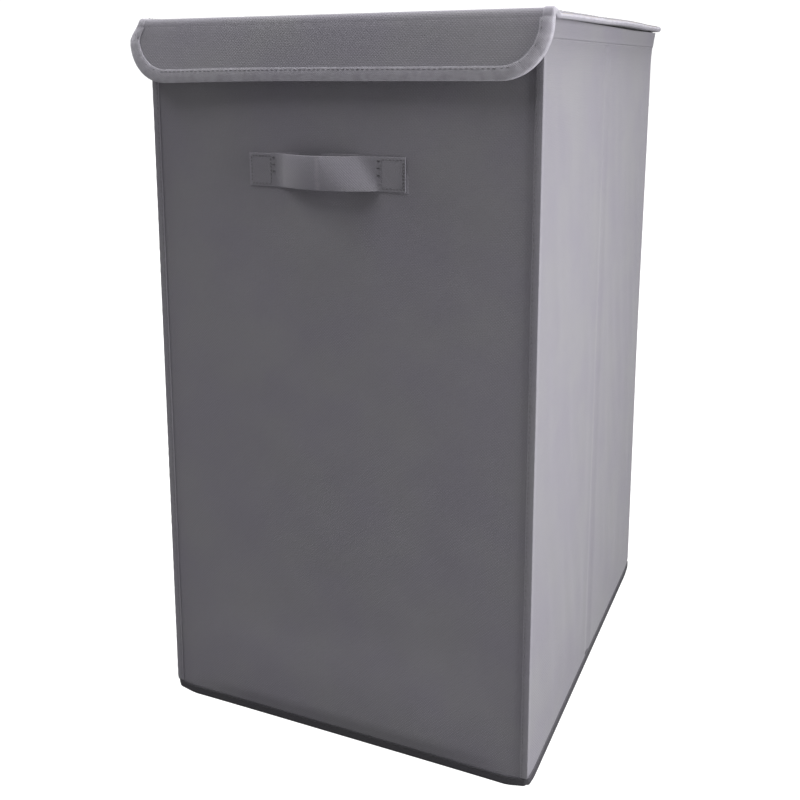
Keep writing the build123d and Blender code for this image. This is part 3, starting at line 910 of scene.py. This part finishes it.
def flap_outline(half, bottom, top, corner, y):
    """The flap's outline as one face, with round lower corners."""
    middle = Vector((0, y, (bottom + top) / 2))
    bm = upright_face(middle, 2 * half, top - bottom)
    bevel(bm, [v for v in bm.verts if v.co.z < middle.z], corner, 14, "VERTICES")
    return bm


def flap_plate(node, y, thickness, outward_way):
    """One flat layer of the flap, cut so that it can bend."""
    low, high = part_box(node)
    inside = 2.4 * MM
    bm = flap_outline(high.x - inside, low.z + inside, high.z, FLAP_CORNER - inside, y)
    cut(bm, 0, low.x, high.x, 7 * MM)
    cut(bm, 2, low.z, high.z, 6 * MM)
    for face in bm.faces:
        if face.normal.dot(outward_way) < 0:
            face.normal_flip()
    move(bm, flap_shape)
    bmesh.ops.solidify(bm, geom=bm.faces[:], thickness=thickness)
    return outward(bm)


def flap_edge_place(p):
    """Distance along the flap's edge, so that gathers follow its round corners."""
    inner = FLAP_HIGH.x - FLAP_CORNER
    centre_z = FLAP_LOW.z + FLAP_CORNER
    if abs(p.x) > inner and p.z < centre_z:
        turn = atan2(abs(p.x) - inner, centre_z - p.z)
        return (1 if p.x > 0 else -1) * (inner + turn * FLAP_CORNER)
    return p.x if p.z < centre_z else (1 if p.x > 0 else -1) * (inner + FLAP_CORNER * pi / 2 + p.z - centre_z)


def flap():
    """Outer cloth, card, lining and folded edge tape of the flap."""
    outer_low, outer_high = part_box("flap_outer_fabric")
    cloth = flap_plate("flap_outer_fabric", outer_low.y, outer_high.y - outer_low.y, -AXES[1])
    # The flap's front takes the lighter-painted copy of the outer cloth.
    cloth = piece("flap_front_cloth", cloth, "outer_fabric", ["flap_outer_fabric"], "flap_cloth_painted_lighter", "flap")
    card_low, card_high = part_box("flap_card")
    card = flap_plate("flap_card", card_low.y, card_high.y - card_low.y, -AXES[1])
    piece("flap_board", card, "stiffening_card", ["flap_card"], body="flap")
    low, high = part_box("flap_lining")
    lining = flap_plate("flap_lining", high.y, high.y - low.y, AXES[1])
    lining = piece("flap_back_cloth", lining, "lining_fabric", ["flap_lining"], body="flap")
    flap_binding()


def flap_binding():
    """The tape folded over the flap's edge, gathered round the corners, and its stitches."""
    top = FLAP_HIGH.z
    band = flap_outline(FLAP_HIGH.x, FLAP_LOW.z, top + FLAP_TAPE, FLAP_CORNER, FLAP_LOW.y)
    outline = [e for e in band.edges if e.calc_length() > 30 * MM]
    bmesh.ops.subdivide_edges(band, edges=outline, cuts=60)
    inset = bmesh.ops.inset_region(band, faces=band.faces[:], thickness=FLAP_TAPE, use_boundary=True,
                                     use_even_offset=True)["faces"]
    bmesh.ops.delete(band, geom=[f for f in band.faces if f not in inset], context="FACES")
    band_faces = band.faces[:]
    bmesh.ops.inset_region(
        band, faces=band_faces, thickness=1.6 * MM, use_boundary=True, use_even_offset=True,
    )
    bmesh.ops.bisect_plane(band, geom=whole(band), plane_co=(0, 0, top), plane_no=(0, 0, 1), clear_outer=True)
    across = FLAP_HIGH.x - FLAP_TAPE - 0.5 * MM
    spare = [v for v in band.verts if v.co.z > top - 0.01 * MM and abs(v.co.x) < across]
    bmesh.ops.delete(band, geom=spare, context="VERTS")
    bmesh.ops.delete(band, geom=[e for e in band.edges if not e.link_faces], context="EDGES")
    sweep(band, whole(band), dvec=(0, FLAP_HIGH.y - FLAP_LOW.y, 0), steps=3)
    outward(band)
    depth = (FLAP_HIGH.y - FLAP_LOW.y) / 2

    def binding_shape(p):
        from_edge = edge_distance(p)
        tuck = max(0.0, 1 - from_edge / (2.2 * MM)) ** 2
        thick = (p.y - FLAP_MIDDLE) * (1 - 0.55 * tuck)
        turned = smooth((abs(p.x) - FLAP_HIGH.x + FLAP_CORNER) / (10 * MM)) * smooth((top - p.z) / (8 * MM))
        gather = (0.5 + 2.8 * turned) * puckers(1.7 * flap_edge_place(p), 0) * smooth(from_edge / (4 * MM))
        sign = -1 if p.y < FLAP_MIDDLE else 1
        seat = 0.35 * MM * smooth((from_edge - FLAP_TAPE + 1.2 * MM) / (1.2 * MM))
        offset = sign * (gather - seat) if abs(p.y - FLAP_MIDDLE) > 0.9 * depth else 0
        return flap_shape(Vector((p.x, FLAP_MIDDLE + thick + offset, p.z)))

    binding = piece("flap_binding", move(band, binding_shape), "edge_tape", ["flap_edge_tape"], body="flap")
    # Painted highlight: the flap tape is lightened more the nearer it lies to its outer edge, across the
    # whole tape width, for the light that edge catches; it adds to the rubbing marked at folds.
    for vert, mark in zip(binding.data.vertices, binding.data.attributes["wear_and_highlight"].data):
        mark.value = max(mark.value, 0.6 * (1 - max(0.0, edge_distance(vert.co)) / FLAP_TAPE))
    thread = bmesh.new()
    for y, way in ((FLAP_LOW.y, -AXES[1]), (FLAP_HIGH.y, AXES[1])):
        edge_stitches(thread, y + way.y * 0.15 * MM, way, 8.2 * MM)
    piece("flap_stitches", thread, "edge_tape", material="thread", body="flap")


def edge_distance(p):
    """How far a point of the flap lies in from its edge."""
    inner, centre_z = FLAP_HIGH.x - FLAP_CORNER, FLAP_LOW.z + FLAP_CORNER
    if abs(p.x) > inner and p.z < centre_z:
        return FLAP_CORNER - hypot(abs(p.x) - inner, p.z - centre_z)
    return min(FLAP_HIGH.x - abs(p.x), p.z - FLAP_LOW.z if p.z < centre_z else FLAP_HIGH.x)


def edge_stitches(thread, y, way, inset):
    """Stitches that follow the flap's edge at a set distance in from it."""
    inner, centre_z = FLAP_HIGH.x - FLAP_CORNER, FLAP_LOW.z + FLAP_CORNER
    radius = FLAP_CORNER - inset
    bottom, side, top = FLAP_LOW.z + inset, FLAP_HIGH.x - inset, FLAP_HIGH.z
    stitches(thread, Vector((-inner, y, bottom)), Vector((inner, y, bottom)), way, shape=flap_shape)
    for sign in (-1, 1):
        x = sign * side
        stitches(thread, Vector((x, y, centre_z)), Vector((x, y, top)), way, shape=flap_shape)
        count = round(radius * pi / 2 / STITCH_PITCH)
        for i in range(count):
            first, last = (radians(90) * (i + share) / count for share in (0.06, 0.94))
            start, stop = (
                Vector((sign * (inner + radius * sin(a)), y, centre_z - radius * cos(a)))
                for a in (first, last)
            )
            reach = (stop - start).length
            stitches(thread, start, stop, way, pitch=reach * 0.99, length=reach * 0.8, shape=flap_shape)


def hinge():
    """The dark tape that hinges the lid: up the back wall, round the rear edge and onto the lid."""
    wall_low, wall_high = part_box("hinge_tape_on_wall")
    lid_low, lid_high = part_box("hinge_tape_on_lid")
    half = wall_high.x
    bm = bmesh.new()
    ends = [bm.verts.new((x, wall_high.y, wall_low.z)) for x in (-half, half)]
    bmesh.ops.subdivide_edges(bm, edges=[bm.edges.new(ends)], cuts=56)
    row = bm.verts[:] + bm.edges[:]
    row = sweep(bm, row, dvec=(0, 0, wall_high.z - wall_low.z), steps=5)
    centre = Vector((0, lid_high.y, wall_high.z))
    row = sweep(bm, row, angle=radians(90), centre=centre, axis=(1, 0, 0), steps=9)
    sweep(bm, row, dvec=(0, lid_low.y - lid_high.y, 0), steps=5)
    bmesh.ops.remove_doubles(bm, verts=bm.verts, dist=0.01 * MM)
    bm.normal_update()
    for face in bm.faces:
        if face.normal.dot(face.calc_center_median() - Vector((0, lid_low.y, wall_low.z))) < 0:
            face.normal_flip()
    for vert in bm.verts:
        drawn_in = splay(wall_high.z) * smooth((vert.co.y - lid_high.y) / (wall_high.y - lid_high.y))
        vert.co.y += drawn_in + 0.3 * MM * ripple(vert.co.x * 22, vert.co.z * 60, 2.0)
    bmesh.ops.solidify(bm, geom=bm.faces[:], thickness=TAPE)
    nodes = ["hinge_tape_on_wall", "hinge_tape_bend", "hinge_tape_on_lid"]
    made = piece("hinge_tape", outward(bm), "dark_tape", nodes, material="outer_fabric")
    start = Vector((0, (wall_low.y + wall_high.y) / 2, wall_high.z))
    end = Vector((0, lid_high.y, (lid_low.z + lid_high.z) / 2))
    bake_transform(made)
    thread = bmesh.new()
    for z in (wall_low.z + 2 * MM, wall_low.z + 11 * MM):
        y = wall_high.y + splay(wall_high.z) + 0.2 * MM
        stitches(thread, Vector((-half + 3 * MM, y, z)), Vector((half - 3 * MM, y, z)), AXES[1])
    piece("hinge_wall_stitches", thread, "dark_tape", material="thread", body="walls")
    thread = bmesh.new()
    for y in (lid_low.y + 2 * MM, lid_low.y + 11 * MM):
        start, end = Vector((-half + 3 * MM, y, lid_high.z)), Vector((half - 3 * MM, y, lid_high.z))
        stitches(thread, start, end, AXES[2])
    piece("hinge_lid_stitches", thread, "dark_tape", material="thread", body="lid")


PAD_WIDTH = 40 * MM


def pads():
    """Loop pads on the front wall and hook pads in the flap, with their stitches."""
    kinds = (("loop", "walls", body_shape, -AXES[1]), ("hook", "flap", flap_shape, AXES[1]))
    for kind, body, shape, way in kinds:
        low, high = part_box(f"{kind}_pads")
        width = high.x - low.x
        bm, thread = bmesh.new(), bmesh.new()
        for sign in (-1, 1):
            x = sorted((sign * width / 2, sign * (width / 2 - PAD_WIDTH)))
            a, b = Vector((x[0], low.y, low.z)), Vector((x[1], high.y, high.z))
            joined(bm, rounded_block(a, b, 0.5 * MM))
            y = low.y if way.y < 0 else high.y
            inset = 1.8 * MM
            left, right, under, over = a.x + inset, b.x - inset, a.z + inset, b.z - inset
            corners = ((left, under), (right, under), (right, over), (left, over))
            corners = [Vector((u, y, w)) for u, w in corners]
            stitch_round(thread, corners, way, pitch=2.6 * MM, length=1.9 * MM, shape=shape)
        cut(bm, 0, low.x, high.x, 8 * MM)
        move(bm, shape)
        piece(f"{kind}_fastener_pads", bm, f"{kind}_fastener", [f"{kind}_pads"], body=body)
        piece(f"{kind}_pad_stitches", thread, f"{kind}_fastener", material="dark_thread", body=body)


# ---------------------------------------------------------------- handles


LOOP_SPAN = 44 * MM
GRIP_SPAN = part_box("front_handle_grip")[1].x
FOOT_RADIUS = 15 * MM
STRAP_SLANT = 7 * MM
LOOP_RISE_SHARE = 0.74  # the loop lies flatter than its full rise
HANDLE_SHIFT = {"front": -5.5 * MM, "back": 0.0}  # the front handle is sewn a little to the left


def strap_half(end, side):
    """Half of a strap: its sewn end, the bend, and the loop up to the middle."""
    sewn_low, sewn_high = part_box(f"{end}_handle_sewn_ends")
    grip_low, grip_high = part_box(f"{end}_handle_grip")
    out = -1 if end == "front" else 1
    thick = sewn_high.y - sewn_low.y
    middle_y = (sewn_low.y + sewn_high.y) / 2
    crown_y = (grip_low.y if out < 0 else grip_high.y) - out * thick / 2
    rise = abs(crown_y - middle_y)
    turn = 2 * atan(rise / LOOP_SPAN)
    big = LOOP_SPAN / sin(turn) - FOOT_RADIUS
    bm = bmesh.new()
    height = sewn_high.z - sewn_low.z
    place = Matrix.Translation((side * sewn_high.x, middle_y, (sewn_low.z + sewn_high.z) / 2))
    place = place @ Matrix.Rotation(radians(90), 4, "Y") @ Matrix.Diagonal((height, thick, 1, 1))
    bmesh.ops.create_grid(bm, x_segments=6, y_segments=1, size=0.5, matrix=place)
    corners = [v for v in bm.verts if len(v.link_edges) == 2]
    bevel(bm, corners, 0.55 * MM, 3, "VERTICES")
    face = whole(bm)
    axis = Vector((0, 0, -out * side))
    face = sweep(bm, face, dvec=(side * (LOOP_SPAN - sewn_high.x), 0, 0), steps=6)
    foot = Vector((side * LOOP_SPAN, middle_y + out * FOOT_RADIUS, 0))
    face = sweep(bm, face, angle=turn, centre=foot, axis=axis, steps=8)
    crown = Vector((0, crown_y - out * big, 0))
    sweep(bm, face, angle=-turn, centre=crown, axis=axis, steps=14)
    outward(bm)
    half_height = height / 2
    z_middle = (sewn_low.z + sewn_high.z) / 2
    lean = out * splay(z_middle)

    def strap_shape(p):
        fall = smooth(p.x / (12 * MM)) * smooth((LOOP_SPAN + 6 * MM - p.x) / (16 * MM)) if out < 0 else 0
        p = Vector((p.x - STRAP_SLANT * fall * (p.z - z_middle) / half_height, p.y, p.z))
        high = abs(p.y - middle_y) / rise
        sag = smooth(high * 1.2)
        cup = 0.9 * MM * sag * (((p.z - z_middle) / half_height) ** 2) * -out
        waver = 0.5 * MM * sag * ripple(p.x * 26, p.z * 30, out)
        y = middle_y + lean + LOOP_RISE_SHARE * (p.y - middle_y) + cup + waver * out
        return Vector((p.x + HANDLE_SHIFT[end], y, p.z))

    return move(bm, strap_shape)


def handle(end):
    """A patch, the strap's two halves and the thread that holds them."""
    low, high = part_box(f"{end}_handle_patch")
    out = -1 if end == "front" else 1
    patch = rounded_block(low, high, 0.35 * MM)
    cut(patch, 0, low.x, high.x, 5 * MM)
    cut(patch, 2, low.z, high.z, 5 * MM)

    def patch_shape(p):
        lift = puckers(p.x * 1.4, 0) + 0.4 * puckers(p.z * 1.6, 0) if abs(p.y) > HALF_D + 0.4 * MM else 0
        return p + Vector((HANDLE_SHIFT[end], out * (0.35 * lift + splay(p.z)), 0))

    piece(f"{end}_patch", move(patch, patch_shape), "strap_fabric", [f"{end}_handle_patch"], body="walls")
    sewn_low, sewn_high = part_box(f"{end}_handle_sewn_ends")
    middle_y = (sewn_low.y + sewn_high.y) / 2
    for side, word in ((-1, "left"), (1, "right")):
        nodes = [f"{end}_handle_sewn_ends", f"{end}_handle_bends"]
        nodes += [f"{end}_handle_grip"] if side < 0 else []
        strap = piece(f"{end}_strap_{word}", strap_half(end, side), "strap_fabric", nodes)
        spans = (LOOP_SPAN, GRIP_SPAN)
        start, stop = (Vector((HANDLE_SHIFT[end] + side * span, middle_y, 0)) for span in spans)
        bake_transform(strap)
    face = sewn_low.y if out < 0 else sewn_high.y
    way = Vector((0, out, 0))
    thread, tacks = bmesh.new(), bmesh.new()
    for side in (-1, 1):
        x = sorted((side * (sewn_high.x - 2 * MM), side * (LOOP_SPAN + 3.5 * MM)))
        z = (sewn_low.z + 2.2 * MM, sewn_high.z - 2.2 * MM)
        corners = [Vector((x[i], face, z[j])) for i, j in ((0, 0), (1, 0), (1, 1), (0, 1))]
        stitch_round(thread, corners, way, pitch=2.9 * MM, length=2.2 * MM, radius=0.26 * MM)
        tack_x = side * (LOOP_SPAN + 1.2 * MM)
        sewn = tacks if side > 0 else thread
        rows = 3
        for i in range(rows):
            z_row = sewn_high.z - (sewn_high.z - sewn_low.z) * (i + 0.6) / (1.6 * rows)
            start = Vector((tack_x - 1.5 * MM, face, z_row))
            stitches(sewn, start, start + Vector((3.0 * MM, 0, 0)), way, pitch=2.99 * MM, length=3.0 * MM,
                     radius=0.42 * MM)
    end_line = Vector((sewn_high.x - 0.8 * MM, face, sewn_low.z + MM))
    reach = AXES[2] * (sewn_high.z - sewn_low.z - 2 * MM)
    stitches(tacks, end_line, end_line + reach, way, pitch=2.4 * MM, length=2.0 * MM, radius=0.4 * MM)
    shift = (HANDLE_SHIFT[end], out * splay(sewn_low.z + 13 * MM), 0)
    for sewn in (thread, tacks):
        bmesh.ops.translate(sewn, verts=sewn.verts, vec=shift)
    piece(f"{end}_handle_stitches", thread, "strap_fabric", material="thread", body="walls")
    piece(f"{end}_handle_tacks", tacks, "strap_fabric", material="dark_thread", body="walls")


# ---------------------------------------------------------------- room, light and camera


def studio():
    """A pale floor, a white surround and soft light, strongest from the right."""
    bpy.ops.mesh.primitive_plane_add(size=30, location=(0, 0, -0.2 * MM))
    floor = bpy.context.object
    floor.name = "floor"
    made, tree, shader = bare_material("floor", 0.0, 0.0)
    shader.inputs["Base Color"].default_value = (0.1, 0.1, 0.1, 1)
    shader.inputs["Roughness"].default_value = 1.0
    shader.inputs["Emission Color"].default_value = (1, 1, 1, 1)
    seen = put(tree, "LightPath").outputs["Is Camera Ray"]
    glow = maths(tree, "MULTIPLY_ADD", seen, 1.1 - FLOOR_LIGHT, FLOOR_LIGHT)
    tree.links.new(glow, shader.inputs["Emission Strength"])
    floor.data.materials.append(made)
    world = bpy.data.worlds.new("white")
    bpy.context.scene.world = world
    world.use_nodes = True
    tree = world.node_tree
    background = tree.nodes["Background"]
    seen = put(tree, "LightPath").outputs["Is Camera Ray"]
    strength = maths(tree, "MULTIPLY_ADD", seen, 1.1 - WORLD_LIGHT, WORLD_LIGHT)
    background.inputs["Color"].default_value = (1, 1, 1, 1)
    tree.links.new(strength, background.inputs["Strength"])
    lamp = bpy.data.lights.new("key", "AREA")
    lamp.shape, lamp.size, lamp.size_y, lamp.energy = "RECTANGLE", KEY_SIZE[0], KEY_SIZE[1], KEY_POWER
    key = bpy.data.objects.new("key", lamp)
    key.rotation_mode = "QUATERNION"
    key.rotation_quaternion = (KEY_PLACE - Vector((HALF_W, KEY_PLACE.y, KEY_PLACE.z))).to_track_quat("Z", "Y")
    key.location = KEY_PLACE
    bpy.context.scene.collection.objects.link(key)
    for name, way, strength, angle in SUNS:
        lamp = bpy.data.lights.new(name, "SUN")
        lamp.energy, lamp.angle = strength, radians(angle)
        sun = bpy.data.objects.new(name, lamp)
        sun.rotation_mode = "QUATERNION"
        sun.rotation_quaternion = Vector(way).to_track_quat("Z", "Y")
        bpy.context.scene.collection.objects.link(sun)
    bpy.context.scene.view_settings.view_transform = "Standard"


WORLD_LIGHT = 0.18
FLOOR_LIGHT = 0.15
KEY_PLACE = Vector((0.85, -0.22, 0.5))
KEY_SIZE = (0.3, 0.8)
KEY_POWER = 9.3
SUNS = (
    ("front", (-0.42, -0.4, 0.82), 1.27, 30),
    ("above", (0.12, 0.16, 0.94), 5.5, 40),
    ("rim", (-0.93, -0.06, 0.25), 1.0, 16),
)
CAMERA_PLACE = Vector((0.3557, -0.8807, 0.5652))
CAMERA_AZIMUTH = radians(24.51)
CAMERA_DIP = radians(12.95)
CAMERA_ROLL = radians(-0.3)
CAMERA_LENS = 45.11
CAMERA_SHIFT = (0.0185, -0.125)


def camera():
    """The camera, low and to the right of the front."""
    lens = bpy.data.cameras.new("camera")
    lens.sensor_width = 36
    lens.lens = CAMERA_LENS
    lens.shift_x, lens.shift_y = CAMERA_SHIFT
    made = bpy.data.objects.new("camera", lens)
    bpy.context.scene.collection.objects.link(made)
    a, e = CAMERA_AZIMUTH, CAMERA_DIP
    back = Vector((sin(a) * cos(e), -cos(a) * cos(e), sin(e)))
    right = (-back).cross(AXES[2]).normalized()
    up = back.cross(right)
    level = Matrix((right, up, back)).transposed()
    rolled = level @ Matrix.Rotation(CAMERA_ROLL, 3, "Z")
    made.matrix_world = Matrix.Translation(CAMERA_PLACE) @ rolled.to_4x4()
    bpy.context.scene.camera = made


walls()
bindings()
corner_seams()
binding_stitches()
base()
lid_panels()
lid_edges()
fold()
flap()
hinge()
pads()
handle("front")
handle("back")
studio()
camera()
